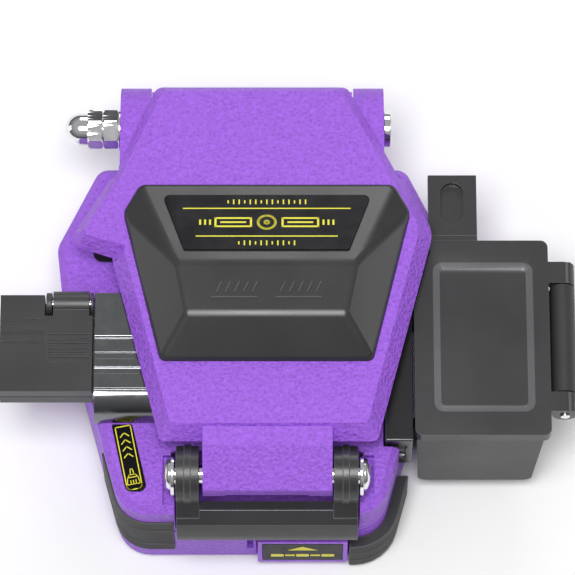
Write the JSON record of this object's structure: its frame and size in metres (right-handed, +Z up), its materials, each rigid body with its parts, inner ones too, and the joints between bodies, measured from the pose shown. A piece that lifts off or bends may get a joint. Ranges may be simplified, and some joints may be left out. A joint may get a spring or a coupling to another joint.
{
  "type": "optical fibre cleaver",
  "caption": "Bench-top optical fibre cleaver with a hinged anvil lid, bail latch, push carriage with a round blade, side fibre clamp and scrap bin.",
  "frame": {"origin": "under the middle of the case, on the plane that the rubber feet stand on", "axes": "+X to the scrap bin, +Y to the lid's hinge at the back, +Z up"},
  "size_m": [0.1169, 0.0954, 0.047],
  "materials": {
    "purple_cast": "textured",
    "black_plastic": "satin",
    "gloss_black": "gloss",
    "black_metal": "textured",
    "chrome": "polished",
    "steel": "brushed",
    "aluminium": "satin",
    "rubber": "matte",
    "label": "printed film",
    "carbide": "ground",
    "dial": "printed",
    "ceramic": "glazed"
  },
  "bodies": {
    "base": {"lower_case": "purple_cast", "upper_case": "purple_cast", "bottom_plate": "steel", "rubber_feet": "rubber", "case_screws": "steel", "left_bumper": "rubber", "right_bumper": "rubber", "hinge_bolt": "chrome", "hinge_washer": "chrome", "hinge_nut": "chrome", "acorn_nut": "chrome", "left_platform": "steel", "right_platform": "steel", "platform_screws": "steel", "pad_blocks": "aluminium", "lower_pads": "rubber", "linear_rail": "steel", "rail_screws": "steel", "cleaning_label": "label", "clamp_bracket": "steel", "clamp_body": "black_plastic", "clamp_lower_pad": "rubber", "clamp_magnet": "steel", "clamp_pin": "chrome", "roller_housing": "gloss_black", "bin_tray": "black_plastic", "bin_screws": "steel", "bin_pin": "chrome", "return_spring": "steel"},
    "lid": {"lid_plate": "purple_cast", "badge_cover": "black_plastic", "badge_label": "label", "anvil_holder": "steel", "anvil": "ceramic", "anvil_screw": "steel", "bail_screws": "chrome", "bail_washers": "chrome", "clamp_springs": "steel"},
    "bail": {"bail_frame": "black_metal"},
    "upper_clamp": {"clamp_block": "aluminium", "upper_pads": "rubber"},
    "carriage": {"push_cap": "purple_cast", "push_label": "label", "slider_plate": "aluminium", "rail_block": "steel", "blade_mount": "aluminium", "mount_screws": "steel", "blade_screw": "steel"},
    "blade": {"blade_wheel": "carbide", "blade_dial": "dial"},
    "bin_cover": {"bin_lid": "black_plastic"},
    "lower_roller": {"drive_roller": "steel"},
    "upper_roller": {"pinch_roller": "rubber"},
    "side_clamp": {"clamp_lid": "black_plastic", "clamp_upper_pad": "rubber"}
  },
  "joints": [
    {"name": "lid_hinge", "type": "hinge", "parent": "base", "child": "lid", "pos_m": [0, 0.0388, 0.029], "axis": [-1, 0, 0], "range_deg": [0, 80]},
    {"name": "bail_pivot", "type": "hinge", "parent": "lid", "child": "bail", "pos_m": [0.0033, -0.0382, 0.0315], "axis": [-1, 0, 0], "range_deg": [0, 100]},
    {"name": "clamp_press", "type": "slide", "parent": "lid", "child": "upper_clamp", "axis": [0, 0, 1], "range_m": [0, 0.0012], "stiffness_N_per_m": 400, "springref_m": -0.002, "deforming": ["clamp_springs"]},
    {"name": "blade_push", "type": "slide", "parent": "base", "child": "carriage", "axis": [0, 1, 0], "range_m": [0, 0.02], "stiffness_N_per_m": 30, "springref_m": -0.004, "deforming": ["return_spring"]},
    {"name": "blade_spin", "type": "hinge", "parent": "carriage", "child": "blade", "pos_m": [0.0035, -0.0215, 0.027], "axis": [1, 0, 0], "continuous": true},
    {"name": "bin_hinge", "type": "hinge", "parent": "base", "child": "bin_cover", "pos_m": [0.0635, -0.009, 0.03045], "axis": [0, 1, 0], "range_deg": [0, 105]},
    {"name": "drive_roller_spin", "type": "hinge", "parent": "base", "child": "lower_roller", "pos_m": [0.0304, -0.0103, 0.0209], "axis": [0, 1, 0], "continuous": true},
    {"name": "pinch_roller_spin", "type": "hinge", "parent": "base", "child": "upper_roller", "pos_m": [0.0304, -0.0103, 0.0257], "axis": [0, 1, 0], "continuous": true},
    {"name": "side_clamp_hinge", "type": "hinge", "parent": "base", "child": "side_clamp", "pos_m": [-0.0365, -0.003, 0.0355], "axis": [-1, 0, 0], "range_deg": [0, 95]}
  ],
  "couplings": [
    {"joint": "pinch_roller_spin", "follows": "drive_roller_spin", "ratio": -1}
  ]
}
